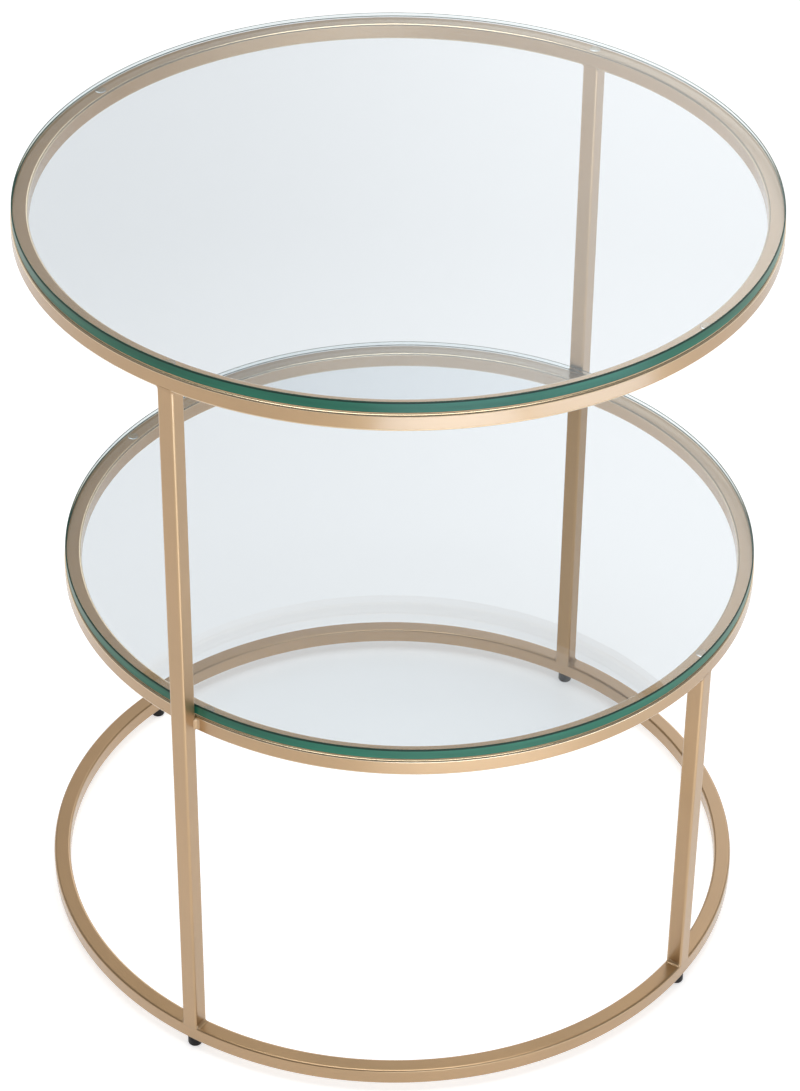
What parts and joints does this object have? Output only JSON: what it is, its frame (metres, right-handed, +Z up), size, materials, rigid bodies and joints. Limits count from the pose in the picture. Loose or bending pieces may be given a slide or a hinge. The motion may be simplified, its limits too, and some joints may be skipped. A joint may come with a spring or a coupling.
{
  "type": "tiered side table",
  "caption": "Round tiered side table: rolled square-tube rings on slim posts carry loose clear glass panes, the lower tier set to one side under the upper, on screw-in feet.",
  "frame": {"origin": "on the floor, at the level of the four soles, under the centre of the top and base rings", "axes": "+Z up; +X from the left tall post to the right tall post; the short post stands towards -Y"},
  "size_m": [0.55, 0.55, 0.622],
  "materials": {
    "gold_steel": "satin champagne-gold plating over square steel tube",
    "clear_glass": "polished float glass, green at its ground edge",
    "clear_bumper": "clear soft plastic",
    "black_glide": "black moulded plastic",
    "zinc_steel": "bright zinc plating"
  },
  "bodies": {
    "frame": {"base_ring": "gold_steel", "lower_ring": "gold_steel", "top_ring": "gold_steel", "left_post": "gold_steel", "right_post": "gold_steel", "short_post": "gold_steel", "left_post_foot_weld": "gold_steel", "left_post_head_weld": "gold_steel", "right_post_foot_weld": "gold_steel", "right_post_head_weld": "gold_steel", "short_post_foot_weld": "gold_steel", "short_post_head_weld": "gold_steel", "left_shelf_weld": "gold_steel", "right_shelf_weld": "gold_steel", "top_left_bumper": "clear_bumper", "top_right_bumper": "clear_bumper", "top_front_bumper": "clear_bumper", "top_rear_bumper": "clear_bumper", "lower_left_bumper": "clear_bumper", "lower_right_bumper": "clear_bumper", "lower_front_bumper": "clear_bumper", "lower_rear_bumper": "clear_bumper", "left_insert": "zinc_steel", "right_insert": "zinc_steel", "front_insert": "zinc_steel", "rear_insert": "zinc_steel"},
    "top_glass": {"top_glass": "clear_glass"},
    "lower_glass": {"lower_glass": "clear_glass"},
    "left_foot": {"left_glide": "black_glide", "left_stud": "zinc_steel"},
    "right_foot": {"right_glide": "black_glide", "right_stud": "zinc_steel"},
    "front_foot": {"front_glide": "black_glide", "front_stud": "zinc_steel"},
    "rear_foot": {"rear_glide": "black_glide", "rear_stud": "zinc_steel"}
  },
  "joints": [
    {"name": "top_glass_lift", "type": "slide", "parent": "frame", "child": "top_glass", "axis": [0, 0, 1], "range_m": [0, 0.1]},
    {"name": "lower_glass_draw", "type": "slide", "parent": "frame", "child": "lower_glass", "axis": [0, -0.9659, 0.2588], "range_m": [0, 0.6]},
    {"name": "left_foot_screw", "type": "slide", "parent": "frame", "child": "left_foot", "axis": [0, 0, -1], "range_m": [0, 0.005]},
    {"name": "right_foot_screw", "type": "slide", "parent": "frame", "child": "right_foot", "axis": [0, 0, -1], "range_m": [0, 0.005]},
    {"name": "front_foot_screw", "type": "slide", "parent": "frame", "child": "front_foot", "axis": [0, 0, -1], "range_m": [0, 0.005]},
    {"name": "rear_foot_screw", "type": "slide", "parent": "frame", "child": "rear_foot", "axis": [0, 0, -1], "range_m": [0, 0.005]}
  ]
}
